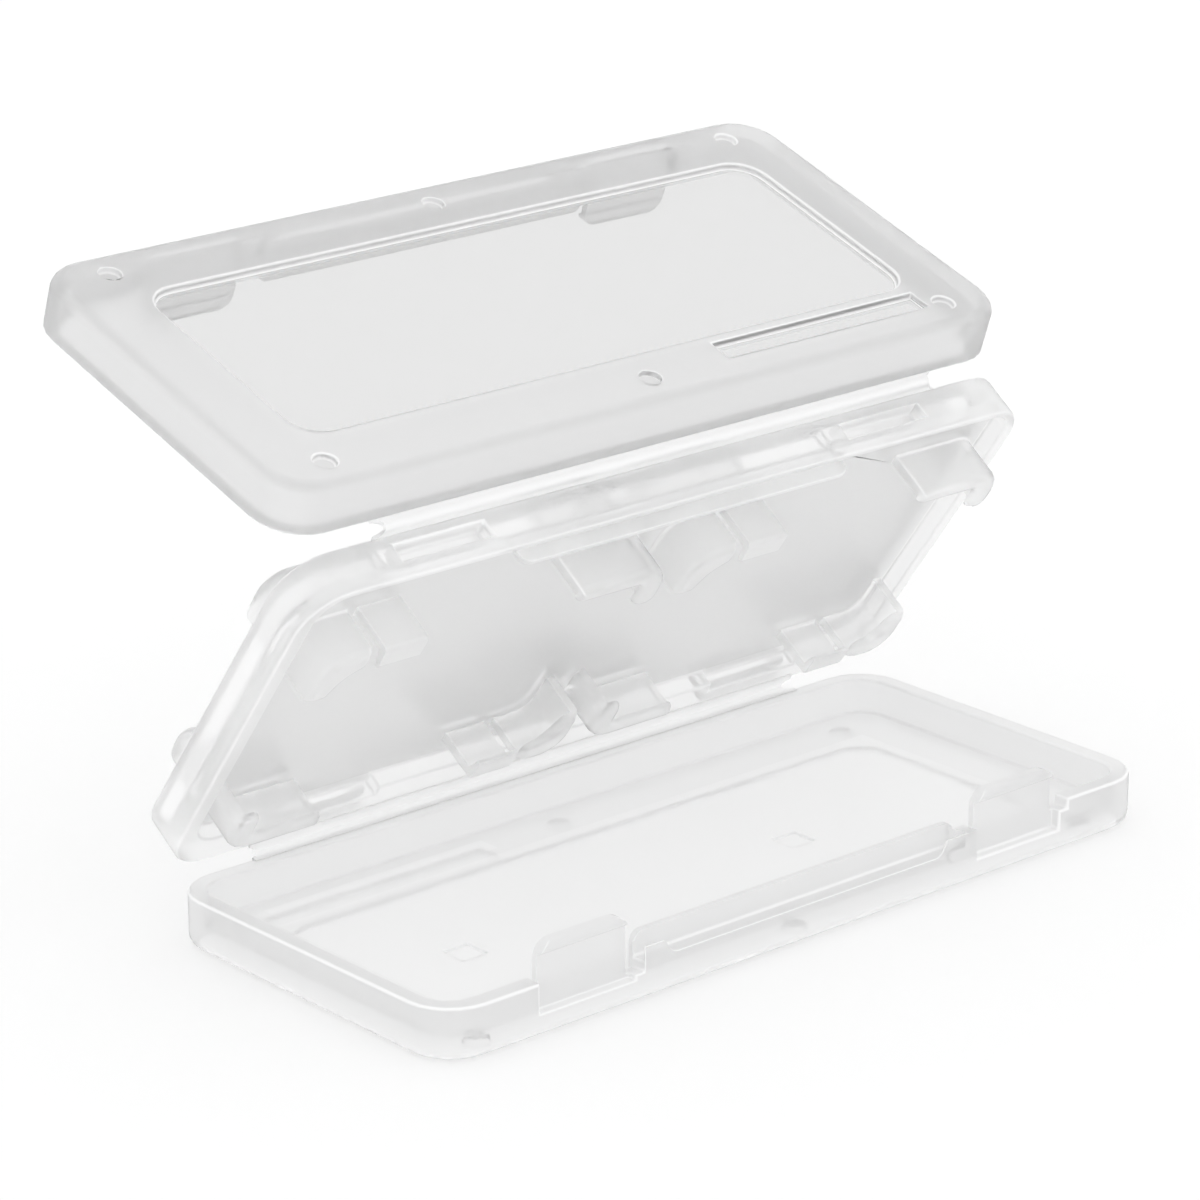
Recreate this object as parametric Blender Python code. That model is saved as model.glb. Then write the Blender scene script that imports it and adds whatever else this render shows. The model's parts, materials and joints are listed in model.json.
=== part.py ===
"""Folding game card case of frosted plastic, standing half open.

A tray, a card panel and a lid hang on each other by two film hinges, so they fold like a Z.
Cards clip onto both faces of the panel, and the tray and the lid snap over them.
Everything is laid out as the closed stack, tray lowest, and the two hinges then open it.
The lid side is the tray side reflected through the middle point of the panel.
"""
import math

import bmesh
import bpy
from mathutils import Matrix, Vector

MM = 0.001

# The cards, and how they are held
CARD_LENGTH = 31.0 * MM
CARD_WIDTH = 21.0 * MM
CARD_THICKNESS = 3.3 * MM
CARD_PLAY = 0.15 * MM
CARD_HEADROOM = 0.2 * MM
CLIP_WALL = 0.8 * MM
CLIP_ROOF = 0.6 * MM
SLOT_GAP = 2.4 * MM

# Reach of the clips along the card's edges, measured from the outer corner of a slot
POST_REACH_LONG = 4.3 * MM
POST_REACH_SHORT = 4.6 * MM
POST_END_OVERHANG = 0.9 * MM
POST_OVERHANG = 1.8 * MM
POST_SWEEP_RADIUS = 2.5 * MM
HOOK_START = 5.2 * MM
HOOK_WIDTH = 3.9 * MM
HOOK_OVERHANG = 1.2 * MM
WIDE_REACH_LONG = 9.1 * MM
WIDE_REACH_SHORT = 4.4 * MM
WIDE_OVERHANG_LONG = 0.8 * MM
WIDE_OVERHANG_SHORT = 1.5 * MM
CLIP_CORNER_RADIUS = 2.4 * MM
CLIP_TIP_RADIUS = 0.8 * MM
CLIP_EDGE_ROUND = 0.7 * MM
TONGUE_RADIUS = 1.1 * MM
HOOK_EDGE_ROUND = 0.4 * MM
NOSE_EDGE_ROUND = 0.15 * MM

# The card panel
PLATE_THICKNESS = 0.9 * MM
RECESS_DEPTH = 1.5 * MM
END_WALL = 1.4 * MM
SKIN = 0.5 * MM
LAND_WIDTH = 2.9 * MM
LAND_TO_CLIP = 1.8 * MM
RECESS_RADIUS = 2.6 * MM
PANEL_EDGE_ROUND = 0.3 * MM

# The tray and the lid
SHELL_WALL = 1.5 * MM
WALL_TO_CLIP = 0.4 * MM
SHELL_FLOOR = 1.3 * MM
FLOOR_TO_CLIP = 0.65 * MM
CORNER_RADIUS = 3.9 * MM
SHELL_EDGE_ROUND = 1.0 * MM
PANE_MARGIN_LONG = 5.95 * MM
PANE_MARGIN_END = 5.8 * MM
PANE_DEPTH = 0.6 * MM
PANE_RADIUS = 2.6 * MM
LONG_POCKET_LENGTH = 21.2 * MM
LONG_POCKET_WIDTH = 2.1 * MM
LONG_POCKET_FROM_PANE = 1.0 * MM
LONG_POCKET_END = 1.0 * MM
DIMPLE_RADIUS = 0.9 * MM
DIMPLE_DEPTH = 0.5 * MM
DIMPLE_FROM_LONG_EDGE = 2.85 * MM
DIMPLE_FROM_END = 5.2 * MM
FLOOR_MARK_SIZE = 2.4 * MM
FLOOR_MARK_DEPTH = 0.25 * MM
FLOOR_MARK_FROM_LEFT = (13.1 * MM, 46.2 * MM)
FLOOR_MARK_FROM_FRONT = 13.4 * MM

# The lip of the panel that drops behind the nail recess, and the rib behind it
LIP_CENTRE = -0.8 * MM
LIP_LENGTH = 32.6 * MM
LIP_THICKNESS = 0.55 * MM
LIP_HEIGHT = 1.2 * MM
LIP_END_RADIUS = 0.9 * MM
NAIL_LENGTH = 27.2 * MM
NAIL_DEPTH = 1.45 * MM
NAIL_RADIUS = 0.8 * MM
NAIL_FLARE = 0.7
RIB_THICKNESS = 0.7 * MM
RIB_RISE = 0.69 * MM

# The latch tabs
LATCH_FROM_LEFT = 13.4 * MM
LATCH_FROM_RIGHT = 14.7 * MM
LATCH_WIDTH = 8.4 * MM
LATCH_THICKNESS = 0.55 * MM
LATCH_RISE = 2.85 * MM
LATCH_RADIUS = 1.4 * MM
LATCH_FOOT = 0.6 * MM
CATCH_HEIGHT = 2.0 * MM
CATCH_DROP = 0.2 * MM
CATCH_PLAY = 0.1 * MM
LATCH_HEADROOM = 0.5 * MM
WINDOW_LOW = 1.5 * MM
WINDOW_BELOW_SLOT_TOP = 0.15 * MM
LAND_NOTCH_WALL = 0.3 * MM
LAND_NOTCH_PLAY = 0.5 * MM

# The film hinges, and the size that their axes are drawn at
HINGE_MARK_SIZE = 5 * MM
HINGE_LENGTH = 54.4 * MM
HINGE_OFFSET = 0.75 * MM
FILM_WIDTH = 0.8 * MM
FILM_THICKNESS = 0.3 * MM
PANEL_OPENING = math.radians(53.9)
LID_OPENING = math.radians(72.6)

# Gaps between pieces
LEAF_GAP = 0.3 * MM
PIECE_GAP = 0.3 * MM

# How far a cutting tool runs past the face that it cuts, and the fineness of round corners
PAST = 1.0 * MM
ARC_STEP = math.radians(15)
FLAT = math.radians(0.5)

# Worked out from the sizes above
CLIP_HEIGHT = CARD_THICKNESS + CARD_HEADROOM + CLIP_ROOF
CLIP_PROUD = CLIP_HEIGHT - RECESS_DEPTH
SLOT_LENGTH = CARD_LENGTH + 2 * (CARD_PLAY + CLIP_WALL)
SLOT_WIDTH = CARD_WIDTH + 2 * (CARD_PLAY + CLIP_WALL)
SLOT_CENTRE = (SLOT_LENGTH + SLOT_GAP) / 2
CASE_LENGTH = 2 * (SLOT_LENGTH + SHELL_WALL + WALL_TO_CLIP) + SLOT_GAP
CASE_WIDTH = SLOT_WIDTH + 2 * (LAND_WIDTH + LAND_TO_CLIP)
END = CASE_LENGTH / 2
FRONT = -CASE_WIDTH / 2
REAR = CASE_WIDTH / 2
PANEL_THICKNESS = PLATE_THICKNESS + 2 * RECESS_DEPTH
SHELL_HEIGHT = SHELL_FLOOR + FLOOR_TO_CLIP + CLIP_PROUD - LEAF_GAP
PANEL_LOW = SHELL_HEIGHT + LEAF_GAP
PANEL_HIGH = PANEL_LOW + PANEL_THICKNESS
PLATE_LOW = PANEL_LOW + RECESS_DEPTH
PLATE_HIGH = PLATE_LOW + PLATE_THICKNESS
LATCH_CENTRES = (-END + LATCH_FROM_LEFT, END - LATCH_FROM_RIGHT)
LATCH_OUTSIDE = SKIN + PIECE_GAP
LATCH_INSIDE = LATCH_OUTSIDE + LATCH_THICKNESS
RIB_OUTSIDE = SKIN + LIP_THICKNESS + PIECE_GAP
PANEL_AXIS = Vector((0, REAR + HINGE_OFFSET, SHELL_HEIGHT + LEAF_GAP / 2))
CLIP_TOP = PANEL_LOW - CLIP_PROUD
LID_AXIS = Vector((0, FRONT - HINGE_OFFSET, PANEL_HIGH + LEAF_GAP / 2))
MIDDLE = Vector((0, 0, (PANEL_LOW + PANEL_HIGH) / 2))
REFLECTION = Matrix.Translation(MIDDLE) @ Matrix.Diagonal((-1, -1, -1, 1)) @ Matrix.Translation(-MIDDLE)


def clear_scene():
    for obj in list(bpy.data.objects):
        bpy.data.objects.remove(obj)


def plastic(name, colour, roughness):
    material = bpy.data.materials.new(name)
    material.use_nodes = True
    shader = material.node_tree.nodes["Principled BSDF"]
    shader.inputs["Base Color"].default_value = (*colour, 1)
    shader.inputs["Roughness"].default_value = roughness
    shader.inputs["Metallic"].default_value = 0
    return material


def rounded(corners):
    """Turns (x, y, radius) corners, in order round the outline, into points with true arcs."""
    points = []
    count = len(corners)
    for index, (x, y, radius) in enumerate(corners):
        here = Vector((x, y))
        before = (Vector(corners[index - 1][:2]) - here).normalized()
        after = (Vector(corners[(index + 1) % count][:2]) - here).normalized()
        if radius == 0:
            points.append(here)
            continue
        half = before.angle(after) / 2
        centre = here + (before + after).normalized() * radius / math.sin(half)
        first = here + before * radius / math.tan(half) - centre
        sweep = math.pi - 2 * half
        turn = -1 if before.cross(after) > 0 else 1
        steps = max(2, round(sweep / ARC_STEP))
        for step in range(steps + 1):
            points.append(centre + Matrix.Rotation(turn * sweep * step / steps, 2) @ first)
    return points


def rectangle(low_x, high_x, low_y, high_y, radius=0):
    return [(low_x, low_y, radius), (high_x, low_y, radius), (high_x, high_y, radius), (low_x, high_y, radius)]


def solid_mesh(obj):
    """The object's evaluated shape as one welded mesh."""
    bpy.context.view_layer.update()
    depsgraph = bpy.context.evaluated_depsgraph_get()
    mesh = bpy.data.meshes.new_from_object(obj.evaluated_get(depsgraph))
    welded = bmesh.new()
    welded.from_mesh(mesh)
    bmesh.ops.remove_doubles(welded, verts=welded.verts, dist=0.001 * MM)
    bmesh.ops.recalc_face_normals(welded, faces=welded.faces)
    welded.to_mesh(mesh)
    welded.free()
    return mesh


def merge_flat_faces(mesh):
    """Closes any sliver that the curve's filling left open, and joins the triangles of each flat face."""
    shape = bmesh.new()
    shape.from_mesh(mesh)
    bmesh.ops.holes_fill(shape, edges=[edge for edge in shape.edges if edge.is_boundary])
    bmesh.ops.dissolve_limit(shape, angle_limit=FLAT, verts=shape.verts, edges=shape.edges)
    shape.to_mesh(mesh)
    shape.free()


def prism(name, corners, low, high, axis="Z"):
    """A flat outline extruded from low to high along an axis.

    Along Z the outline is in X and Y, along X it is in Y and Z, and along Y in X and Z.
    """
    curve = bpy.data.curves.new(name, "CURVE")
    curve.dimensions = "2D"
    curve.fill_mode = "BOTH"
    curve.extrude = (high - low) / 2
    points = rounded(corners)
    spline = curve.splines.new("POLY")
    spline.points.add(len(points) - 1)
    for spot, point in zip(spline.points, points):
        spot.co = (*point, 0, 1)
    spline.use_cyclic_u = True
    holder = bpy.data.objects.new(name, curve)
    bpy.context.scene.collection.objects.link(holder)
    mesh = solid_mesh(holder)
    merge_flat_faces(mesh)
    bpy.data.objects.remove(holder)
    mesh.transform(Matrix.Translation((0, 0, (low + high) / 2)))
    if axis == "X":
        mesh.transform(Matrix(((0, 0, 1, 0), (1, 0, 0, 0), (0, 1, 0, 0), (0, 0, 0, 1))))
    if axis == "Y":
        mesh.transform(Matrix(((1, 0, 0, 0), (0, 0, 1, 0), (0, 1, 0, 0), (0, 0, 0, 1))))
        mesh.flip_normals()
    piece = bpy.data.objects.new(name, mesh)
    bpy.context.scene.collection.objects.link(piece)
    return piece


def round_rim(piece, height, radius, segments):
    """Rounds the outline's edges that lie at one height."""
    shape = bmesh.new()
    shape.from_mesh(piece.data)
    level = [edge for edge in shape.edges
             if all(abs(vert.co.z - height) < 0.01 * MM for vert in edge.verts)]
    bmesh.ops.bevel(shape, geom=level, offset=radius, segments=segments, profile=0.5, affect="EDGES")
    shape.to_mesh(piece.data)
    shape.free()


def combine(target, operation, tools):
    """Cuts the tools out of the target, or joins them to it, and removes them."""
    for tool in tools:
        step = target.modifiers.new(tool.name, "BOOLEAN")
        step.operation = operation
        step.solver = "EXACT"
        step.object = tool
    mesh = solid_mesh(target)
    target.modifiers.clear()
    target.data = mesh
    for tool in tools:
        bpy.data.objects.remove(tool)


def reflected(piece):
    """Moves a piece of the tray side to the lid side, through the panel's middle point."""
    piece.data.transform(REFLECTION)
    piece.data.flip_normals()
    return piece


def latch_span(centre, play):
    return centre - LATCH_WIDTH / 2 - play, centre + LATCH_WIDTH / 2 + play


def shell(name):
    """The tray in the closed stack: a shallow box with its hinge edge at the rear."""
    outline = rectangle(-END, END, FRONT, REAR, CORNER_RADIUS)
    body = prism(name, outline, 0, SHELL_HEIGHT)
    round_rim(body, 0, SHELL_EDGE_ROUND, 4)
    inner = rectangle(-END + SHELL_WALL, END - SHELL_WALL, FRONT + SHELL_WALL, REAR - SHELL_WALL,
                      CORNER_RADIUS - SHELL_WALL)
    combine(body, "DIFFERENCE", [prism("inside", inner, SHELL_FLOOR, SHELL_HEIGHT + PAST)])
    combine(body, "UNION", [closing_rib()])
    combine(body, "DIFFERENCE", [lip_slot(), nail_recess()] + latch_cuts() + outer_face_cuts() + floor_marks())
    return body


def closing_rib():
    """The rib inside the front wall that the panel's lip drops in front of."""
    low_y = FRONT + RIB_OUTSIDE
    half = LIP_LENGTH / 2
    side = rectangle(LIP_CENTRE - half, LIP_CENTRE + half, SHELL_FLOOR - FLOOR_MARK_DEPTH,
                     SHELL_HEIGHT + RIB_RISE)
    for corner in (2, 3):
        side[corner] = (*side[corner][:2], LIP_END_RADIUS)
    return prism("closing_rib", side, low_y, low_y + RIB_THICKNESS, "Y")


def lip_slot():
    """Room in the front wall for the panel's lip, behind a thin skin."""
    half = LIP_LENGTH / 2 + PIECE_GAP
    low_y = FRONT + SKIN - PIECE_GAP
    floor = PANEL_LOW - NAIL_DEPTH
    spot = rectangle(LIP_CENTRE - half, LIP_CENTRE + half, low_y, FRONT + RIB_OUTSIDE)
    return prism("lip_slot", spot, floor, SHELL_HEIGHT + PAST)


def nail_recess():
    """The opening in the skin where a nail lifts the panel."""
    half = NAIL_LENGTH / 2
    low_z = PANEL_LOW - NAIL_DEPTH
    high_z = SHELL_HEIGHT + PAST
    half_at_top = half + (high_z - low_z) * NAIL_FLARE
    side = [(LIP_CENTRE - half, low_z, NAIL_RADIUS), (LIP_CENTRE + half, low_z, NAIL_RADIUS),
            (LIP_CENTRE + half_at_top, high_z, 0), (LIP_CENTRE - half_at_top, high_z, 0)]
    return prism("nail_recess", side, FRONT - PAST, FRONT + SKIN, "Y")


def latch_cuts():
    """For each latch tab, a recess in the front wall's face and a slot through the wall behind it."""
    cuts = []
    for centre in LATCH_CENTRES:
        low_x, high_x = latch_span(centre, PIECE_GAP)
        face = rectangle(low_x, high_x, FRONT - PAST, FRONT + LATCH_OUTSIDE)
        slot = rectangle(low_x, high_x, FRONT + LATCH_OUTSIDE - PIECE_GAP, FRONT + LATCH_INSIDE + PIECE_GAP)
        cuts.append(prism("latch_face", face, SHELL_FLOOR + LATCH_FOOT, SHELL_HEIGHT + PAST))
        cuts.append(prism("latch_slot", slot, SHELL_FLOOR, SHELL_HEIGHT + PAST))
    return cuts


def outer_face_cuts():
    """The sunk pane, the long pocket beside it and the six dimples of the outer face."""
    pane = rectangle(-END + PANE_MARGIN_END, END - PANE_MARGIN_END,
                     FRONT + PANE_MARGIN_LONG, REAR - PANE_MARGIN_LONG, PANE_RADIUS)
    pocket_end = -END + PANE_MARGIN_END + LONG_POCKET_END
    pocket_low = REAR - PANE_MARGIN_LONG + LONG_POCKET_FROM_PANE
    pocket = rectangle(pocket_end, pocket_end + LONG_POCKET_LENGTH, pocket_low, pocket_low + LONG_POCKET_WIDTH)
    cuts = [prism("pane", pane, -PAST, PANE_DEPTH), prism("long_pocket", pocket, -PAST, PANE_DEPTH)]
    for x in (-END + DIMPLE_FROM_END, 0, END - DIMPLE_FROM_END):
        for y in (FRONT + DIMPLE_FROM_LONG_EDGE, REAR - DIMPLE_FROM_LONG_EDGE):
            spot = rectangle(x - DIMPLE_RADIUS, x + DIMPLE_RADIUS, y - DIMPLE_RADIUS, y + DIMPLE_RADIUS,
                             DIMPLE_RADIUS)
            cuts.append(prism("dimple", spot, -PAST, DIMPLE_DEPTH))
    return cuts


def floor_marks():
    """Two small square marks on the inside of the floor."""
    half = FLOOR_MARK_SIZE / 2
    marks = []
    y = FRONT + FLOOR_MARK_FROM_FRONT
    for distance in FLOOR_MARK_FROM_LEFT:
        x = -END + distance
        spot = rectangle(x - half, x + half, y - half, y + half)
        marks.append(prism("floor_mark", spot, SHELL_FLOOR - FLOOR_MARK_DEPTH, SHELL_FLOOR + PAST))
    return marks


def latch_tab(name, centre):
    """An upright tab in the shell's front wall with a catch along its top."""
    low_x, high_x = latch_span(centre, 0)
    top = SHELL_HEIGHT + LATCH_RISE
    side = [(low_x, SHELL_FLOOR + PIECE_GAP, 0), (high_x, SHELL_FLOOR + PIECE_GAP, 0),
            (high_x, top, LATCH_RADIUS), (low_x, top, LATCH_RADIUS)]
    tab = prism(name, side, FRONT + LATCH_OUTSIDE, FRONT + LATCH_INSIDE, "Y")
    back = FRONT + LATCH_OUTSIDE + LATCH_THICKNESS / 2
    tip = FRONT + SKIN + CATCH_PLAY
    wedge = [(back, top - CATCH_HEIGHT, 0), (back, top - CATCH_DROP, 0), (tip, top - CATCH_HEIGHT / 2, 0)]
    catch = prism("catch", wedge, low_x + LATCH_RADIUS, high_x - LATCH_RADIUS, "X")
    combine(tab, "UNION", [catch])
    return tab


def card_bay():
    """The recess that the cards of the tray side lie in, notched into the land opposite each tab of the lid."""
    low_x, high_x = -END + END_WALL, END - END_WALL
    land = REAR - LAND_WIDTH
    notch_end = REAR - LATCH_INSIDE - PIECE_GAP - LAND_NOTCH_WALL
    bay = [(low_x, FRONT + SKIN, RECESS_RADIUS), (high_x, FRONT + SKIN, RECESS_RADIUS),
           (high_x, land, RECESS_RADIUS)]
    for centre in LATCH_CENTRES:
        notch_low, notch_high = latch_span(-centre, LAND_NOTCH_PLAY)
        bay += [(notch_high, land, 0), (notch_high, notch_end, 0), (notch_low, notch_end, 0),
                (notch_low, land, 0)]
    bay.append((low_x, land, RECESS_RADIUS))
    return prism("card_bay", bay, PANEL_LOW - PAST, PLATE_LOW)


def panel_latch_cuts():
    """For each tab of the tray, a blind slot in the panel and a window through the skin in front of it."""
    cuts = []
    slot_top = SHELL_HEIGHT + LATCH_RISE + LATCH_HEADROOM
    for centre in LATCH_CENTRES:
        slot = rectangle(*latch_span(centre, PIECE_GAP), FRONT + SKIN, FRONT + LATCH_INSIDE + PIECE_GAP)
        window = rectangle(*latch_span(centre, 0), PANEL_LOW + WINDOW_LOW, slot_top - WINDOW_BELOW_SLOT_TOP)
        cuts.append(prism("tab_slot", slot, PANEL_LOW - PAST, slot_top))
        cuts.append(prism("catch_window", window, FRONT - PAST, FRONT + (SKIN + LATCH_INSIDE) / 2, "Y"))
    return cuts


def closing_lip():
    """The lip along the front edge, on the inside of the skin, that drops into the tray's wall."""
    half = LIP_LENGTH / 2
    low_z = PANEL_LOW - LIP_HEIGHT
    side = [(LIP_CENTRE - half, low_z, LIP_END_RADIUS), (LIP_CENTRE + half, low_z, LIP_END_RADIUS),
            (LIP_CENTRE + half, PLATE_LOW + PLATE_THICKNESS / 2, 0),
            (LIP_CENTRE - half, PLATE_LOW + PLATE_THICKNESS / 2, 0)]
    return prism("closing_lip", side, FRONT + SKIN, FRONT + SKIN + LIP_THICKNESS, "Y")


def corner_post_outline(left, front):
    """The post round a slot's left front corner, seen from the card's side."""
    end = CLIP_WALL + POST_END_OVERHANG
    middle = CLIP_WALL + POST_OVERHANG
    return [(left, front, CLIP_CORNER_RADIUS), (left + POST_REACH_LONG, front, 0),
            (left + POST_REACH_LONG, front + end, CLIP_TIP_RADIUS),
            (left + middle, front + middle, POST_SWEEP_RADIUS),
            (left + end, front + POST_REACH_SHORT, CLIP_TIP_RADIUS), (left, front + POST_REACH_SHORT, 0)]


def wide_clip_outline(right, front):
    """The wide clip round a slot's right front corner, seen from the card's side."""
    over_long = CLIP_WALL + WIDE_OVERHANG_LONG
    over_short = CLIP_WALL + WIDE_OVERHANG_SHORT
    return [(right - WIDE_REACH_LONG, front, 0), (right, front, CLIP_CORNER_RADIUS),
            (right, front + WIDE_REACH_SHORT, TONGUE_RADIUS),
            (right - over_short, front + WIDE_REACH_SHORT, TONGUE_RADIUS),
            (right - over_short, front + over_long, CLIP_TIP_RADIUS),
            (right - WIDE_REACH_LONG, front + over_long, CLIP_TIP_RADIUS)]


def half_turned(corners, centre_x):
    """An outline turned half a turn about a slot's middle."""
    return [(2 * centre_x - x, -y, radius) for x, y, radius in corners]


def card_room(centre_x):
    """The room for one card under the clips' roofs, cut a little into the plate."""
    half_x = SLOT_LENGTH / 2 - CLIP_WALL
    half_y = SLOT_WIDTH / 2 - CLIP_WALL
    spot = rectangle(centre_x - half_x, centre_x + half_x, -half_y, half_y, CLIP_CORNER_RADIUS - CLIP_WALL)
    return prism("card_room", spot, CLIP_TOP + CLIP_ROOF, PLATE_LOW + PLATE_THICKNESS / 4)


def slot_clips(centre_x):
    """The four stiff clips round the corners of one card slot, two posts and two wide clips."""
    front = -SLOT_WIDTH / 2
    post = corner_post_outline(centre_x - SLOT_LENGTH / 2, front)
    wide = wide_clip_outline(centre_x + SLOT_LENGTH / 2, front)
    clips = []
    for outline in (post, wide, half_turned(post, centre_x), half_turned(wide, centre_x)):
        clip = prism("clip", outline, CLIP_TOP, PLATE_LOW + PLATE_THICKNESS / 2)
        round_rim(clip, CLIP_TOP, CLIP_EDGE_ROUND, 3)
        combine(clip, "DIFFERENCE", [card_room(centre_x)])
        clips.append(clip)
    return clips


def card_hook(name, centre_x, facing):
    """A springy hook beside a corner post: upright from the plate, with a nose over the card.

    facing is 1 at the front of the slot and -1 at the rear, where the hook is half turned.
    """
    left = centre_x - SLOT_LENGTH / 2 + HOOK_START
    front = -SLOT_WIDTH / 2
    low_z = CLIP_TOP
    nose = front + CLIP_WALL + HOOK_OVERHANG
    profile = [(front, low_z, HOOK_EDGE_ROUND), (nose, low_z, NOSE_EDGE_ROUND), (nose, low_z + CLIP_ROOF / 2, 0),
               (front + CLIP_WALL, low_z + CLIP_ROOF, 0),
               (front + CLIP_WALL, PLATE_LOW - PIECE_GAP, 0), (front, PLATE_LOW - PIECE_GAP, 0)]
    hook = prism(name, profile, left, left + HOOK_WIDTH, "X")
    if facing < 0:
        middle = Vector((centre_x, 0, 0))
        hook.data.transform(Matrix.Translation(middle) @ Matrix.Rotation(math.pi, 4, "Z")
                            @ Matrix.Translation(-middle))
    return hook


def card_panel():
    """The plate with its frame, the clips of both faces and the two closing lips."""
    outline = rectangle(-END, END, FRONT, REAR, CORNER_RADIUS)
    panel = prism("card_panel", outline, PANEL_LOW, PANEL_HIGH)
    round_rim(panel, PANEL_LOW, PANEL_EDGE_ROUND, 2)
    round_rim(panel, PANEL_HIGH, PANEL_EDGE_ROUND, 2)
    combine(panel, "DIFFERENCE", [card_bay(), reflected(card_bay())])
    combine(panel, "UNION", [closing_lip(), reflected(closing_lip())])
    combine(panel, "DIFFERENCE", panel_latch_cuts() + [reflected(cut) for cut in panel_latch_cuts()])
    for centre_x in (-SLOT_CENTRE, SLOT_CENTRE):
        combine(panel, "UNION", slot_clips(centre_x))
        combine(panel, "UNION", [reflected(piece) for piece in slot_clips(centre_x)])
    return panel


def film(name, axis, opening):
    """The film hinge's flexing strip, lying across the line between the two leaves that it joins."""
    strip = rectangle(-FILM_WIDTH / 2, FILM_WIDTH / 2, -FILM_THICKNESS / 2, FILM_THICKNESS / 2, FILM_THICKNESS / 3)
    web = prism(name, strip, -HINGE_LENGTH / 2, HINGE_LENGTH / 2, "X")
    tilt = Matrix.Rotation(opening, 4, "X")
    web.data.transform(Matrix.Translation(axis) @ tilt)
    return web


def hinge_empty(name, axis, angle, parent):
    empty = bpy.data.objects.new(name, None)
    empty.empty_display_size = HINGE_MARK_SIZE
    bpy.context.scene.collection.objects.link(empty)
    empty.location = axis
    empty.rotation_euler.x = angle
    if parent:
        carry(empty, parent, PANEL_AXIS)
    return empty


def carry(piece, empty, axis):
    """Hangs a piece of the closed stack on a hinge's empty."""
    piece.parent = empty
    piece.matrix_parent_inverse = Matrix.Translation(-axis)


def finish(piece, material, collection):
    piece.data.materials.clear()
    piece.data.materials.append(material)
    piece.data.shade_smooth()
    piece.data.set_sharp_from_angle(angle=math.radians(30))
    for owner in list(piece.users_collection):
        owner.objects.unlink(piece)
    collection.objects.link(piece)


def centre_over_base(pieces, roots):
    """Moves the opened case so that the middle of its box stands over the origin."""
    bpy.context.view_layer.update()
    depths = [(piece.matrix_world @ vert.co).y for piece in pieces for vert in piece.data.vertices]
    for root in roots:
        root.location.y -= (min(depths) + max(depths)) / 2


def tray_side_hooks():
    names = ((-SLOT_CENTRE, "left"), (SLOT_CENTRE, "right"))
    hooks = []
    for centre_x, side in names:
        hooks.append(card_hook("tray_side_" + side + "_front_hook", centre_x, 1))
        hooks.append(card_hook("tray_side_" + side + "_rear_hook", centre_x, -1))
    return hooks


def lid_side_hooks():
    names = ((-SLOT_CENTRE, "right"), (SLOT_CENTRE, "left"))
    hooks = []
    for centre_x, side in names:
        hooks.append(reflected(card_hook("lid_side_" + side + "_rear_hook", centre_x, 1)))
        hooks.append(reflected(card_hook("lid_side_" + side + "_front_hook", centre_x, -1)))
    return hooks


def main():
    clear_scene()
    collection = bpy.data.collections.new("game_card_case")
    bpy.context.scene.collection.children.link(collection)
    frosted = (0.86, 0.87, 0.88)

    tray_pieces = [shell("tray"), latch_tab("tray_latch_left", LATCH_CENTRES[0]),
                   latch_tab("tray_latch_right", LATCH_CENTRES[1])]
    panel_pieces = [card_panel(), film("lower_hinge_film", PANEL_AXIS, PANEL_OPENING / 2 + math.pi / 2)]
    panel_pieces += tray_side_hooks() + lid_side_hooks()
    lid_pieces = [reflected(shell("lid")), reflected(latch_tab("lid_latch_right", LATCH_CENTRES[0])),
                  reflected(latch_tab("lid_latch_left", LATCH_CENTRES[1])),
                  film("upper_hinge_film", LID_AXIS, math.pi / 2 - LID_OPENING / 2)]

    panel_hinge = hinge_empty("panel_hinge", PANEL_AXIS, -PANEL_OPENING, None)
    lid_hinge = hinge_empty("lid_hinge", LID_AXIS, LID_OPENING, panel_hinge)
    for piece in panel_pieces:
        carry(piece, panel_hinge, PANEL_AXIS)
    for piece in lid_pieces:
        carry(piece, lid_hinge, LID_AXIS)
    every_piece = tray_pieces + panel_pieces + lid_pieces
    for piece in every_piece:
        finish(piece, plastic(piece.name + "_plastic", frosted, 0.35), collection)
    centre_over_base(every_piece, tray_pieces + [panel_hinge])
    bpy.context.view_layer.update()


main()
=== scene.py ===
"""Looks of the half open game card case: frosted plastic, film hinges, a white table, soft light.

Every leaf is the CAD leaf with its tabs and hooks moulded on, its edges eased and a frosted
finish. The lid is the tray turned over: the tray's mesh, with the two marks in its floor
levelled, reflected through the middle of the closed case. The two film hinges are webs that
bend between the leaves they join.
"""

import json
import math

import bmesh
import bpy
import numpy as np
from mathutils import Matrix, Vector
from mathutils.geometry import delaunay_2d_cdt, intersect_line_line_2d, tessellate_polygon
from mathutils.kdtree import KDTree


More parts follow.
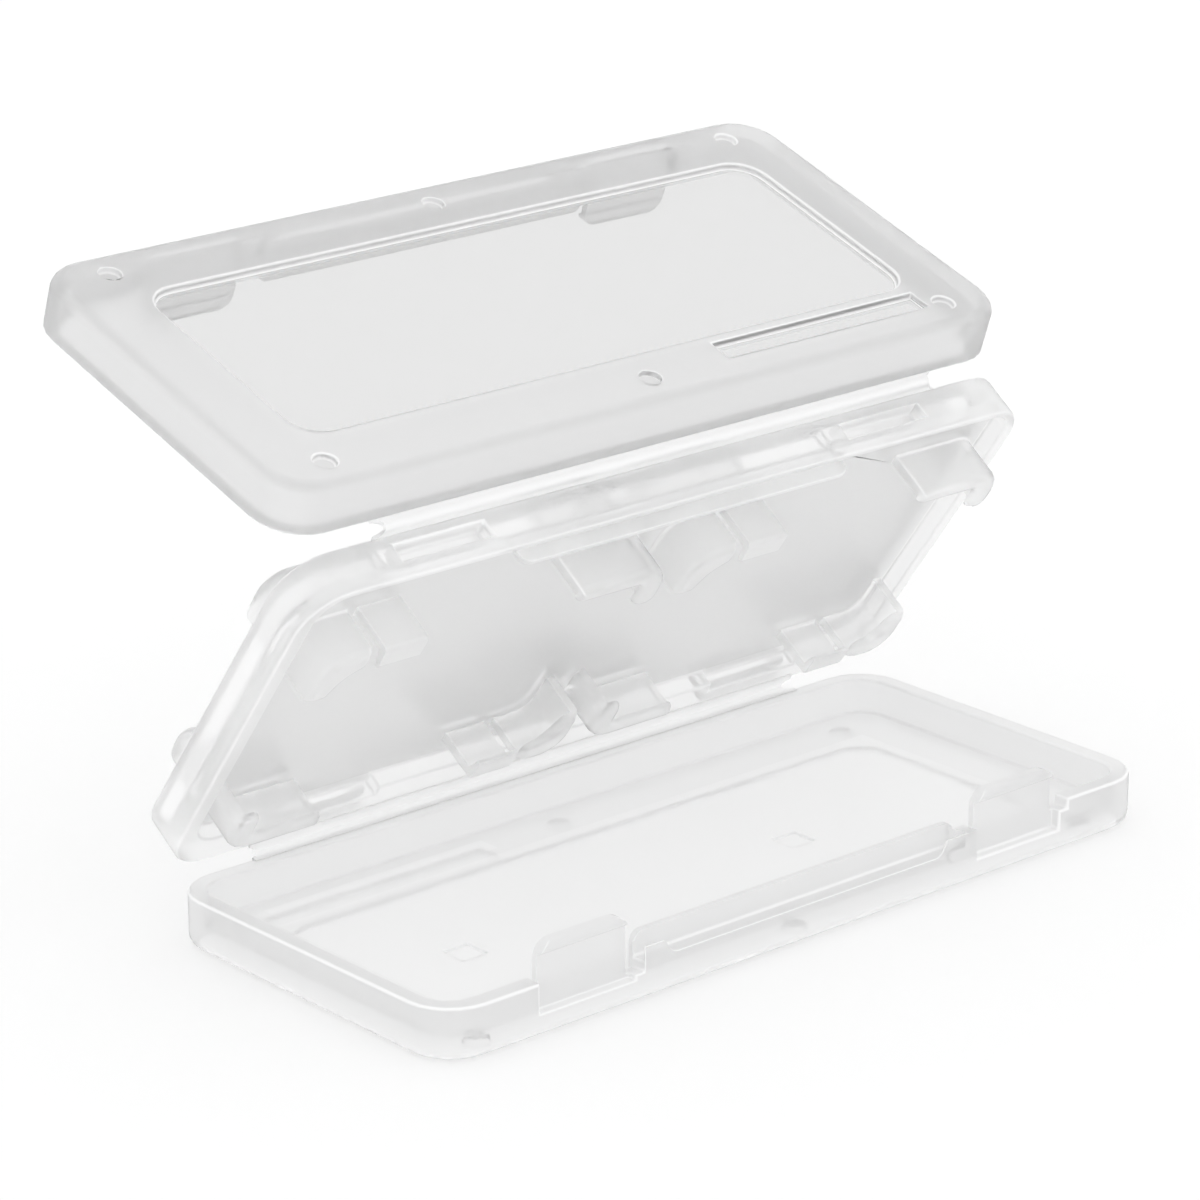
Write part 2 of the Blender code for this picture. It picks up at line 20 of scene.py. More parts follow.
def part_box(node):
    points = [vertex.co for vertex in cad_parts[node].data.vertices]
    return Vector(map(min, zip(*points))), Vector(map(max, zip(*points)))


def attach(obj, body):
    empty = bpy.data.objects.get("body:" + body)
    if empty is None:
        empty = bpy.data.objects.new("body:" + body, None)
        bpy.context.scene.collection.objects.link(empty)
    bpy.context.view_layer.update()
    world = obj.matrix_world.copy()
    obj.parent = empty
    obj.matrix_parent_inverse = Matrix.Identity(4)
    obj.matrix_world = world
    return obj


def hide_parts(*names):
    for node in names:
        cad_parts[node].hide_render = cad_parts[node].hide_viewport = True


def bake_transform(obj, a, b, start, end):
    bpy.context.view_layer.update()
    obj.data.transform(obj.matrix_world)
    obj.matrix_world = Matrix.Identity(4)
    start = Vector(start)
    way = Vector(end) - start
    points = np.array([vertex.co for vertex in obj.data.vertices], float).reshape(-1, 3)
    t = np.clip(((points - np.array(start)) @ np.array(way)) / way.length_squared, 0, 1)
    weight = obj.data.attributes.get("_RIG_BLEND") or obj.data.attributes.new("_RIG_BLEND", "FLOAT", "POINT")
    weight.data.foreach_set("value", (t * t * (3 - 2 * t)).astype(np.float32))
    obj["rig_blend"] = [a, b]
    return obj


MM = 0.001

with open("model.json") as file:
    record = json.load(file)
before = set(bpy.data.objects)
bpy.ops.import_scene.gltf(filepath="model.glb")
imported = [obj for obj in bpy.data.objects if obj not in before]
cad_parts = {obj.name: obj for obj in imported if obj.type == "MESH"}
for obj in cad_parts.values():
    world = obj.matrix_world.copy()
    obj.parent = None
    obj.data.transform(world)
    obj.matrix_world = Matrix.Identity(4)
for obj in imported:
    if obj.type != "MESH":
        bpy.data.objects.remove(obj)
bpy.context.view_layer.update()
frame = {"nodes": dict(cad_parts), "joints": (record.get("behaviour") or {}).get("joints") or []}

# The photograph's camera, found by fitting the case's edges
CAMERA_AZIMUTH = math.radians(41.21)
CAMERA_DROP = math.radians(19.01)
CAMERA_ROLL = math.radians(-0.29)
CAMERA_DISTANCE = 377.8 * MM
CAMERA_RIGHT = -5.42 * MM
CAMERA_UP = 21.34 * MM
CAMERA_LENS = 147.8
CAMERA_SENSOR = 36
CAMERA_CLIP = 10 * MM

# Sizes shared with the CAD case
SHELL_FLOOR = 1.3 * MM
SHELL_WALL = 1.5 * MM
SKIN = 0.5 * MM
LATCH_RADIUS = 1.4 * MM
LATCH_THICKNESS = 0.55 * MM
LATCH_FOOT = 0.6 * MM
FLOOR_MARK_HALF = 1.2 * MM
FLOOR_MARKS_FROM_LEFT = (13.1 * MM, 46.2 * MM)
FLOOR_MARKS_FROM_FRONT = 13.4 * MM
PIECE_GAP = 0.3 * MM
LEAF_GAP = 0.3 * MM
PLATE_LOW = 6.05 * MM
PLATE_HIGH = 6.95 * MM
STACK_HEIGHT = 13.0 * MM

# Details that are moulded on for the looks alone. A root is how far one form runs into another,
# and past is how far a cutting block stands out of what it cuts.
CATCH_REACH = 0.5 * MM
CATCH_HEIGHT = 1.0 * MM
CATCH_STEPS = 8
ROUNDING_STEPS = 6
NOTCH_WIDTH = 1.2 * MM
LOW_NOTCH = 0.8 * MM
DEEP_NOTCH = 1.95 * MM
ROOT = 0.15 * MM
FILLER_DEPTH = 2.5 * ROOT
PAST = 1 * MM

# Easing of the edges. The share is how much of the room beside an edge its easing may take.
# Where eased faces cross, the edges within reach keep only a part of their easing. The slots are
# material slots that tell the faces apart, and the last value is a kind of output of Blender's
# triangulation.
EASING = 0.25 * MM
EASING_SHARE = 0.4
EASING_SEGMENTS = 3
EASING_TRIES = 14
EASING_KEPT = 0.6
CROSSING_REACH = 1.5 * EASING
CROSSED_AREA = 0.002 * MM * MM
SHARP_ANGLE = math.radians(35)
CROSSWISE = math.cos(math.radians(30))
BACKWARD = -0.5
FLAT_ANGLE = math.radians(0.5)
WELD = 0.001 * MM
MEETING = 0.00001 * MM
FLAT_SLOT, EASED_SLOT = 0, 1
TRIANGLES_INSIDE = 1

# The hinge webs
WEB_LENGTH = 54.4 * MM
WEB_THICKNESS = 0.3 * MM
WEB_ROOT = 0.5 * MM
WEB_STEPS = 16

# The smoother parts of the leaves, as boxes in the closed stack, in mm: the middle and half the
# size of each, and a coordinate that lies outside them all
SHELL_PANES = (((0, 0, 0.95), (30.2, 10.2, 0.5)), ((-18.6, 12.25, 0.95), (10.6, 1.05, 0.5)))
PANEL_PANES = (((0, 0, 6.5), (34.4, 13.2, 0.5)),)
FAR_FROM_PANES = 100.0

# The plastic's finish. Clearness is the share of light that goes through instead of scattering.
# The roughness varies between two levels like a cloud, and the grain is a fine bump.
PANE_CLEARNESS = 0.85
# Clearness of the eased edges, which are painted white and nearly opaque as a highlight along every edge.
PAINTED_HIGHLIGHT_CLEARNESS = 0.05
ROUGHNESS = (0.30, 0.42)
CLOUD_SCALE = 90
CLOUD_DETAIL = 3
GRAIN_SCALE = 2500
GRAIN_DETAIL = 2
GRAIN_STRENGTH = 0.1
GRAIN_DEPTH = 0.01 * MM

# The table and the light. Lengths are in metres and the lamps' power in watts.
TABLE_WIDTH = 4
TABLE_TONE = 0.65
TABLE_ROUGHNESS = 0.6
TABLE_GLOW = 0.365
HORIZON_LIGHT = 1.0
ZENITH_LIGHT = 1.0
LAMPS = (("key", (-0.35, -0.25, 0.55)), ("fill", (0.45, -0.35, 0.35)))
LAMP_SIZE = 0.35
LAMP_POWER = 0.05
LAMPS_AIM = (0, 0, 0.02)

# Which two inputs and which output of the Mix node belong to each kind of value
MIX_SOCKETS = {"FLOAT": (2, 3, 0), "RGBA": (6, 7, 2)}


def joint(name):
    return next(item for item in frame["joints"] if item["name"] == name)


def turn_about(spot, degrees):
    place = Matrix.Translation(spot)
    return place @ Matrix.Rotation(math.radians(degrees), 4, "X") @ place.inverted()


def leaf_matrices():
    """For each leaf, the matrix from the closed stack, tray lowest, to where it stands."""
    low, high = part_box("tray")
    tray = Matrix.Translation((0, (low.y + high.y) / 2, 0))
    lower = joint("lower_hinge")
    upper = joint("upper_hinge")
    panel = turn_about(lower["pos_m"], -lower["range_deg"][1]) @ tray
    lid = turn_about(upper["pos_m"], -upper["range_deg"][0]) @ panel
    return tray, panel, lid


TRAY, PANEL, LID = leaf_matrices()
REFLECTION = (Matrix.Translation((0, 0, STACK_HEIGHT / 2)) @ Matrix.Diagonal((-1, -1, -1, 1))
              @ Matrix.Translation((0, 0, -STACK_HEIGHT / 2)))
TRAY_TO_LID = LID @ REFLECTION @ TRAY.inverted()


def add_object(name, data):
    item = bpy.data.objects.new(name, data)
    bpy.context.scene.collection.objects.link(item)
    return item


def tidy(mesh):
    """Welds the mesh and joins the triangles of each flat face."""
    shape = bmesh.new()
    shape.from_mesh(mesh)
    bmesh.ops.remove_doubles(shape, verts=shape.verts, dist=WELD)
    bmesh.ops.dissolve_limit(shape, angle_limit=FLAT_ANGLE, verts=shape.verts, edges=shape.edges)
    bmesh.ops.recalc_face_normals(shape, faces=shape.faces)
    shape.to_mesh(mesh)
    shape.free()
    return mesh


def evaluated(piece):
    """The piece's mesh with its modifiers applied, which are then taken off the piece."""
    bpy.context.view_layer.update()
    depsgraph = bpy.context.evaluated_depsgraph_get()
    mesh = bpy.data.meshes.new_from_object(piece.evaluated_get(depsgraph))
    piece.modifiers.clear()
    return mesh


def combine(piece, operation, tools):
    """Joins the tools to the piece, or cuts them from it, and removes them."""
    for tool in tools:
        step = piece.modifiers.new(tool.name, "BOOLEAN")
        step.operation = operation
        step.solver = "EXACT"
        step.object = tool
    piece.data = tidy(evaluated(piece))
    for tool in tools:
        bpy.data.objects.remove(tool)


def extruded(name, outline, axis, low, high):
    """A flat outline, as 3-D points, pushed along an axis from low to high."""
    shape = bmesh.new()
    first = []
    for point in outline:
        spot = Vector(point)
        spot[axis] = low
        first.append(shape.verts.new(spot))
    face = shape.faces.new(first)
    push = Vector((0, 0, 0))
    push[axis] = high - low
    moved = bmesh.ops.extrude_face_region(shape, geom=[face])["geom"]
    bmesh.ops.translate(shape, vec=push,
                        verts=[item for item in moved if isinstance(item, bmesh.types.BMVert)])
    bmesh.ops.recalc_face_normals(shape, faces=shape.faces)
    mesh = bpy.data.meshes.new(name)
    shape.to_mesh(mesh)
    shape.free()
    return add_object(name, mesh)


def block(name, low, high):
    outline = [(low[0], low[1], 0), (high[0], low[1], 0),
               (high[0], high[1], 0), (low[0], high[1], 0)]
    return extruded(name, outline, 2, low[2], high[2])


def room_beside(edge):
    """How far an edge may be eased before it runs into the edges that cross it at its ends."""
    room = EASING
    along = (edge.verts[1].co - edge.verts[0].co).normalized()
    for vert in edge.verts:
        for other in vert.link_edges:
            across = other.other_vert(vert).co - vert.co
            if other != edge and abs(across.normalized().dot(along)) < CROSSWISE:
                room = min(room, across.length * EASING_SHARE)
    return room


def rooms_across(loops):
    """For each of a face's loops, the shortest way to an edge that runs back on its far side."""
    starts = np.array([loop.vert.co for loop in loops])
    ends = np.array([loop.link_loop_next.vert.co for loop in loops])
    spans = ends - starts
    lengths = np.linalg.norm(spans, axis=1)
    along = spans / lengths[:, None]
    facing = along @ along.T < BACKWARD
    nearest = np.full(facing.shape, np.inf)
    for share in (0, 0.5, 1):
        spots = starts + spans * share
        reach = ((spots[:, None] - starts[None]) * along[None]).sum(axis=2)
        reach = reach.clip(0, lengths[None])
        feet = starts[None] + along[None] * reach[:, :, None]
        nearest = np.minimum(nearest, np.linalg.norm(spots[:, None] - feet, axis=2))
    nearest = np.where(facing, np.minimum(nearest, nearest.T), np.inf)
    return nearest.min(axis=1)


def easing_rooms(shape):
    """For each sharp edge, how far it may be eased."""
    rooms = {edge: room_beside(edge) for edge in shape.edges
             if len(edge.link_faces) == 2 and edge.calc_face_angle() > SHARP_ANGLE}
    for face in shape.faces:
        loops = [loop for loop in face.loops if loop.edge in rooms]
        if len(loops) > 1:
            for loop, room in zip(loops, rooms_across(loops)):
                rooms[loop.edge] = min(rooms[loop.edge], room * EASING_SHARE)
    return rooms


def crosses_itself(face):
    """Whether a face's triangles cover more than its outline does, as they do where it crosses."""
    points = [vert.co for vert in face.verts]
    if len(points) < 4:
        return False
    total = Vector((0, 0, 0))
    for index, point in enumerate(points):
        total += point.cross(points[index - 1])
    filled = sum((points[b] - points[a]).cross(points[c] - points[a]).length
                 for a, b, c in tessellate_polygon([points]))
    return filled - total.length > CROSSED_AREA


def crossings(mesh):
    """Where the outlines of faces run across themselves after easing."""
    shape = bmesh.new()
    shape.from_mesh(mesh)
    spots = []
    for face in filter(crosses_itself, shape.faces):
        points = [vert.co.copy() for vert in face.verts]
        flat = face.normal.to_track_quat("Z", "Y").to_matrix().transposed()
        outline = [(flat @ point).to_2d() for point in points]
        count = len(points)
        found = []
        for first in range(count):
            after_first = (first + 1) % count
            for second in range(first + 2, count - (first == 0)):
                after_second = (second + 1) % count
                if intersect_line_line_2d(outline[first], outline[after_first],
                                          outline[second], outline[after_second]):
                    found += [points[first], points[second],
                              points[after_first], points[after_second]]
        spots += found or points
    shape.free()
    return spots


def refill(shape, face):
    """Replaces a face whose outline crosses itself by triangles that don't overlap."""
    upright = face.normal.to_track_quat("Z", "Y").to_matrix()
    corners = list(face.verts)
    flat = [upright.transposed() @ vert.co for vert in corners]
    points, _, triangles, origins, _, _ = delaunay_2d_cdt(
        [spot.to_2d() for spot in flat], [], [list(range(len(flat)))], TRIANGLES_INSIDE, MEETING)
    bmesh.ops.delete(shape, geom=[face], context="FACES_ONLY")
    verts = [corners[origin[0]] if origin
             else shape.verts.new(upright @ Vector((*point, flat[0].z)))
             for point, origin in zip(points, origins)]
    for triangle in triangles:
        chosen = [verts[index] for index in triangle]
        if len(set(chosen)) == 3 and shape.faces.get(chosen) is None:
            shape.faces.new(chosen)


def refilled(mesh):
    """The mesh with every face that crosses itself replaced by triangles."""
    shape = bmesh.new()
    shape.from_mesh(mesh)
    for face in list(filter(crosses_itself, shape.faces)):
        refill(shape, face)
    shape.to_mesh(mesh)
    shape.free()
    return mesh


def marked_eased_faces(mesh):
    """Keeps in an attribute which vertices lie within the eased edges, where the plastic gets a painted
    white highlight.
    """
    within = [1.0] * len(mesh.vertices)
    for face in mesh.polygons:
        if face.material_index == FLAT_SLOT:
            for index in face.vertices:
                within[index] = 0.0
        face.material_index = FLAT_SLOT
    mesh.attributes.new("edge_light", "FLOAT", "POINT").data.foreach_set("value", within)
    return mesh


def bevelled(piece, shape, rooms):
    """The piece's mesh with each sharp edge eased by its own width."""
    weight = shape.edges.layers.float["bevel_weight_edge"]
    for edge, room in rooms.items():
        edge[weight] = room / EASING
    shape.to_mesh(piece.data)
    step = piece.modifiers.new("ease", "BEVEL")
    step.width = EASING
    step.segments = EASING_SEGMENTS
    step.limit_method = "WEIGHT"
    step.use_clamp_overlap = False
    step.material = EASED_SLOT
    return evaluated(piece)


def near_any(tree, edge):
    """Whether some point along an edge lies within reach of a crossing."""
    first, second = (vert.co for vert in edge.verts)
    steps = max(1, math.ceil((second - first).length / EASING))
    return any(tree.find(first.lerp(second, step / steps))[2] < CROSSING_REACH
               for step in range(steps + 1))


def eased(piece):
    """Eases the sharp edges, less where the eased faces would cross."""
    piece.data.materials.clear()
    for slot in (FLAT_SLOT, EASED_SLOT):
        piece.data.materials.append(None)
    shape = bmesh.new()
    shape.from_mesh(piece.data)
    shape.edges.layers.float.new("bevel_weight_edge")
    rooms = easing_rooms(shape)
    for _ in range(EASING_TRIES):
        mesh = bevelled(piece, shape, rooms)
        spots = crossings(mesh)
        if not spots:
            break
        tree = KDTree(len(spots))
        for index, spot in enumerate(spots):
            tree.insert(spot, index)
        tree.balance()
        for edge in rooms:
            if near_any(tree, edge):
                rooms[edge] *= EASING_KEPT
    shape.free()
    piece.data = marked_eased_faces(refilled(mesh))


def shaded(piece):
    """Smooth shading in which the large flat faces stay flat."""
    piece.data.shade_smooth()
    piece.data.set_sharp_from_angle(angle=SHARP_ANGLE)
    step = piece.modifiers.new("shade", "WEIGHTED_NORMAL")
    step.mode = "FACE_AREA"
    step.keep_sharp = True
    piece.data = evaluated(piece)


def mark_places(mesh, places):
    """Keeps a place in mm for each vertex, from which the plastic knows its smoother parts."""
    attribute = mesh.attributes.new("leaf_place", "FLOAT_VECTOR", "POINT")
    attribute.data.foreach_set("vector", [part for place in places for part in place])


def places_in_stack(mesh, leaf):
    """Where each vertex of a leaf lies in the closed stack, in mm."""
    inverse = leaf.inverted()
    return [(inverse @ vert.co) / MM for vert in mesh.vertices]


def dress(piece, body, nodes, material):
    """Gives a leaf its plastic and its moving body, and hides the CAD nodes it stands for."""
    piece.data.materials.clear()
    piece.data.materials.append(material)
    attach(piece, body)
    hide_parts(*nodes)


def node_copy(node, name):
    """A new object with a CAD node's mesh, whose flat faces are whole again."""
    return add_object(name, tidy(frame["nodes"][node].data.copy()))


def shell_rim():
    """The height of the tray's rim."""
    return joint("lower_hinge")["pos_m"][2] - LEAF_GAP / 2


def latch_with_catch(node):
    """A latch tab with a rounded catch rolled along its top, rooted in the tray's wall."""
    low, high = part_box(node)
    front = high.y - LATCH_THICKNESS
    foot = SHELL_FLOOR - ROOT
    middle = high.z - CATCH_HEIGHT / 2
    outline = [(0, front, foot), (0, high.y, foot), (0, high.y, high.z)]
    for step in range(CATCH_STEPS + 1):
        angle = math.pi * (0.5 - step / CATCH_STEPS)
        outline.append((0, front - CATCH_REACH * math.cos(angle),
                        middle + CATCH_HEIGHT / 2 * math.sin(angle)))
    tab = extruded("latch", outline, 0, low.x, high.x)
    rounding = []
    for centre, start in ((low.x + LATCH_RADIUS, 180), (high.x - LATCH_RADIUS, 90)):
        for step in range(ROUNDING_STEPS + 1):
            angle = math.radians(start - 90 * step / ROUNDING_STEPS)
            rounding.append((centre + LATCH_RADIUS * math.cos(angle), 0,
                             high.z - LATCH_RADIUS + LATCH_RADIUS * math.sin(angle)))
    rounding += [(high.x, 0, foot), (low.x, 0, foot)]
    combine(tab, "INTERSECT", [extruded("rounding", rounding, 1, low.y - PAST, high.y + PAST)])
    return tab


def latch_wall(node):
    """The wall behind a latch tab's recess, which the tab grows out of, with its thicker foot."""
    low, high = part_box(node)
    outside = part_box("tray")[0].y
    front = high.y - LATCH_THICKNESS
    bottom = SHELL_FLOOR - ROOT
    step = SHELL_FLOOR + LATCH_FOOT
    top = shell_rim() - LOW_NOTCH
    outline = [(0, outside + SKIN - ROOT, bottom), (0, outside + SHELL_WALL, bottom),
               (0, outside + SHELL_WALL, top), (0, front, top),
               (0, front, step), (0, outside + SKIN - ROOT, step)]
    return extruded("latch_wall", outline, 0,
                    low.x - PIECE_GAP - ROOT, high.x + PIECE_GAP + ROOT)


def side_notch(node, depth):
    """The notch in the wall at the right of a latch tab, which lets the tab bend."""
    low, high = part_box(node)
    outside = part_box("tray")[0].y
    return block("side_notch", (high.x, outside - PAST, shell_rim() - depth),
                 (high.x + NOTCH_WIDTH, outside + SHELL_WALL + PAST, shell_rim() + PAST))


def mark_fillers():
    """Blocks that level the two small square marks of the floor, which only the tray shows."""
    low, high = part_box("tray")
    y = low.y + FLOOR_MARKS_FROM_FRONT
    half = FLOOR_MARK_HALF + ROOT
    fillers = []
    for distance in FLOOR_MARKS_FROM_LEFT:
        x = low.x + distance
        fillers.append(block("mark_filler", (x - half, y - half, SHELL_FLOOR - FILLER_DEPTH),
                             (x + half, y + half, SHELL_FLOOR)))
    return fillers


def tray_and_lid(tray_material, lid_material):
    """The tray with its latch tabs moulded on, and the same turned over as the lid."""
    tray = node_copy("tray", "tray_moulded")
    latches = ("tray_latch_left", "tray_latch_right")
    combine(tray, "UNION", [latch_wall(node) for node in latches]
            + [latch_with_catch(node) for node in latches])
    combine(tray, "DIFFERENCE", [side_notch(node, depth)
                                 for node, depth in zip(latches, (DEEP_NOTCH, LOW_NOTCH))])
    lid = add_object("lid_moulded", tray.data.copy())
    combine(lid, "UNION", mark_fillers())
    for piece in (tray, lid):
        eased(piece)
        mark_places(piece.data, places_in_stack(piece.data, TRAY))
    lid.data.transform(TRAY_TO_LID)
    lid.data.flip_normals()
    shaded(tray)
    shaded(lid)
    dress(tray, "tray_body", ("tray", "tray_latch_left", "tray_latch_right"), tray_material)
    dress(lid, "lid_body", ("lid", "lid_latch_left", "lid_latch_right"), lid_material)


def rooted_hook(node):
    """A card hook with its foot carried down into the plate."""
    hook = node_copy(node, node + "_rooted")
    hook.data.transform(PANEL.inverted())
    for vert in hook.data.vertices:
        if PLATE_LOW - 2 * PIECE_GAP < vert.co.z < PLATE_LOW:
            vert.co.z = PLATE_LOW + ROOT
        if PLATE_HIGH < vert.co.z < PLATE_HIGH + 2 * PIECE_GAP:
            vert.co.z = PLATE_HIGH - ROOT
    hook.data.transform(PANEL)
    return hook


def card_panel(material):
    """The card panel with its hooks moulded on."""
    hooks = [node for node in frame["nodes"] if node.endswith("_hook")]
    panel = node_copy("card_panel", "card_panel_moulded")
    combine(panel, "UNION", [rooted_hook(node) for node in hooks])
    eased(panel)
    mark_places(panel.data, places_in_stack(panel.data, PANEL))
    shaded(panel)
    dress(panel, "panel_body", ["card_panel"] + hooks, material)


def web_path(first, axis, second):
    """Points of the web's middle line, from inside one leaf round the axis into the other."""
    control = axis * 2 - (first + second) / 2
    points = [first + (first - axis).normalized() * WEB_ROOT]
    for step in range(WEB_STEPS + 1):
        share = step / WEB_STEPS
        points.append(first * (1 - share) ** 2 + control * 2 * share * (1 - share)
                      + second * share ** 2)
    points.append(second + (second - axis).normalized() * WEB_ROOT)
    return points


def hinge_web(name, node, bodies, first, axis, second, material):
    """A thin web through the hinge line, whose ends flare where it runs into the leaves."""
    points = web_path(first, axis, second)
    shape = bmesh.new()
    rings = []
    reach = (first - axis).length
    for index, point in enumerate(points):
        before = points[max(index - 1, 0)]
        after = points[min(index + 1, len(points) - 1)]
        along = (after - before).normalized()
        across = Vector((0, -along.z, along.y)) * WEB_THICKNESS / 2
        spread = min((point - axis).length, reach)
        half = WEB_LENGTH / 2 + reach - math.sqrt(reach ** 2 - spread ** 2)
        side = Vector((half, 0, 0))
        rings.append([shape.verts.new(spot) for spot in
                      (point + across - side, point + across + side,
                       point - across + side, point - across - side)])
    for ring, following in zip(rings, rings[1:]):
        for index in range(4):
            other = (index + 1) % 4
            shape.faces.new((ring[index], ring[other], following[other], following[index]))
    shape.faces.new(rings[0])
    shape.faces.new(rings[-1])
    bmesh.ops.recalc_face_normals(shape, faces=shape.faces)
    mesh = bpy.data.meshes.new(name)
    shape.to_mesh(mesh)
    shape.free()
    mark_places(mesh, [(FAR_FROM_PANES,) * 3] * len(mesh.vertices))
    web = add_object(name, mesh)
    mesh.shade_smooth()
    mesh.set_sharp_from_angle(angle=SHARP_ANGLE)
    mesh.materials.append(material)
    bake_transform(web, *bodies, start=tuple(first), end=tuple(second))
    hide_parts(node)


def hinge_webs(material):
    low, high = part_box("tray")
    half_width = (high.y - low.y) / 2
    rim = shell_rim()
    tray_edge = TRAY @ Vector((0, half_width, rim))
    panel_edge = PANEL @ Vector((0, half_width, rim + LEAF_GAP))
    hinge_web("lower_hinge_web", "lower_hinge_film", ("tray_body", "panel_body"),
              tray_edge, Vector(joint("lower_hinge")["pos_m"]), panel_edge, material)
    panel_edge = PANEL @ Vector((0, -half_width, STACK_HEIGHT - rim - LEAF_GAP))
    lid_edge = LID @ Vector((0, -half_width, STACK_HEIGHT - rim))
    hinge_web("upper_hinge_web", "upper_hinge_film", ("panel_body", "lid_body"),
              panel_edge, Vector(joint("upper_hinge")["pos_m"]), lid_edge, material)


def new_material(name):
    """A new material, with its node tree and its shader."""
    material = bpy.data.materials.new(name)
    material.use_nodes = True
    return material, material.node_tree, material.node_tree.nodes["Principled BSDF"]


def feed(tree, value, socket):
    """Links a node output to a socket, or sets the socket to a plain value."""
    if isinstance(value, bpy.types.NodeSocket):
        tree.links.new(value, socket)
    else:
        socket.default_value = value


def grey(level):
    return level, level, level, 1


def maths(tree, operation, first, second):
    """The result of a sum on two values, each a node output or a number."""
    step = tree.nodes.new("ShaderNodeMath")
    step.operation = operation
    feed(tree, first, step.inputs[0])
    feed(tree, second, step.inputs[1])
    return step.outputs["Value"]


def largest_of(tree, values):
    """The largest of some node outputs, none of which is ever below 0."""
    result = 0
    for value in values:
        result = maths(tree, "MAXIMUM", result, value)
    return result


def mixed(tree, share, low, high, kind="FLOAT"):
    """A value or a colour that goes from one level to another, each a node output or set here."""
    first, second, result = MIX_SOCKETS[kind]
    step = tree.nodes.new("ShaderNodeMix")
    step.data_type = kind
    feed(tree, share, step.inputs[0])
    feed(tree, low, step.inputs[first])
    feed(tree, high, step.inputs[second])
    return step.outputs[result]


def attribute(tree, name, output):
    """What the mesh keeps under a name, as a node output."""
    source = tree.nodes.new("ShaderNodeAttribute")
    source.attribute_name = name
    return source.outputs[output]


def parts_of(tree, vector):
    parts = tree.nodes.new("ShaderNodeSeparateXYZ")
    feed(tree, vector, parts.inputs["Vector"])
    return [parts.outputs[axis] for axis in "XYZ"]


def noise(tree, place, scale, detail):
    texture = tree.nodes.new("ShaderNodeTexNoise")
    feed(tree, place, texture.inputs["Vector"])
    feed(tree, scale, texture.inputs["Scale"])
    feed(tree, detail, texture.inputs["Detail"])
    return texture.outputs["Fac"]


def pane_share(tree, place, panes):
    """1 within the smoother parts of a leaf and 0 outside them."""
    inside = []
    for middle, half in panes:
        vector = place
        for operation, amount in (("SUBTRACT", middle), ("DIVIDE", half), ("ABSOLUTE", middle)):
            step = tree.nodes.new("ShaderNodeVectorMath")
            step.operation = operation
            feed(tree, vector, step.inputs[0])
            feed(tree, amount, step.inputs[1])
            vector = step.outputs["Vector"]
        inside.append(maths(tree, "LESS_THAN", largest_of(tree, parts_of(tree, vector)), 1))
    return largest_of(tree, inside)


def painted_highlight_share(tree, place, lowest):
    """1 within the eased edges that lie above a height of the closed stack, where the painted white
    highlight goes, and 0 elsewhere.
    """
    return maths(tree, "MULTIPLY", attribute(tree, "edge_light", "Fac"),
                 maths(tree, "GREATER_THAN", parts_of(tree, place)[2], lowest))


def frosted_plastic(name, panes, lowest_painted_highlight, tone, clearness, pane_tone, pane_roughness,
                    bending, haze):
    """Frosted plastic: rough transmission, smoother in its panes, edges painted white as a highlight, a fine
    grain.

    The bending is its index of refraction, the haze what a metre of it takes from the light,
    and the lowest painted highlight the height of the closed stack, in mm, above which its eased edges are
    painted white as a highlight.
    """
    material, tree, shader = new_material(name)
    shader.inputs["IOR"].default_value = bending
    leaf_place = attribute(tree, "leaf_place", "Vector")
    edge = painted_highlight_share(tree, leaf_place, lowest_painted_highlight)
    pane = pane_share(tree, leaf_place, panes)
    place = tree.nodes.new("ShaderNodeTexCoord").outputs["Object"]
    spread = tree.nodes.new("ShaderNodeMapRange")
    spread.inputs["To Min"].default_value, spread.inputs["To Max"].default_value = ROUGHNESS
    feed(tree, noise(tree, place, CLOUD_SCALE, CLOUD_DETAIL), spread.inputs["Value"])
    roughness = mixed(tree, pane, spread.outputs["Result"], pane_roughness)
    feed(tree, roughness, shader.inputs["Roughness"])
    # The tone and pane tone are set per leaf as painted light and shade.
    colour = mixed(tree, pane, grey(tone), grey(pane_tone), "RGBA")
    # Painted highlight: the eased edges are painted white and let little light through.
    feed(tree, mixed(tree, edge, colour, grey(1), "RGBA"), shader.inputs["Base Color"])
    through = mixed(tree, pane, clearness, PANE_CLEARNESS)
    feed(tree, mixed(tree, edge, through, PAINTED_HIGHLIGHT_CLEARNESS), shader.inputs["Transmission Weight"])
    bump = tree.nodes.new("ShaderNodeBump")
    bump.inputs["Strength"].default_value = GRAIN_STRENGTH
    bump.inputs["Distance"].default_value = GRAIN_DEPTH
    feed(tree, noise(tree, place, GRAIN_SCALE, GRAIN_DETAIL), bump.inputs["Height"])
    feed(tree, bump.outputs["Normal"], shader.inputs["Normal"])
    body = tree.nodes.new("ShaderNodeVolumeAbsorption")
    body.inputs["Color"].default_value = grey(0)
    body.inputs["Density"].default_value = haze
    feed(tree, body.outputs["Volume"], tree.nodes["Material Output"].inputs["Volume"])
    return material


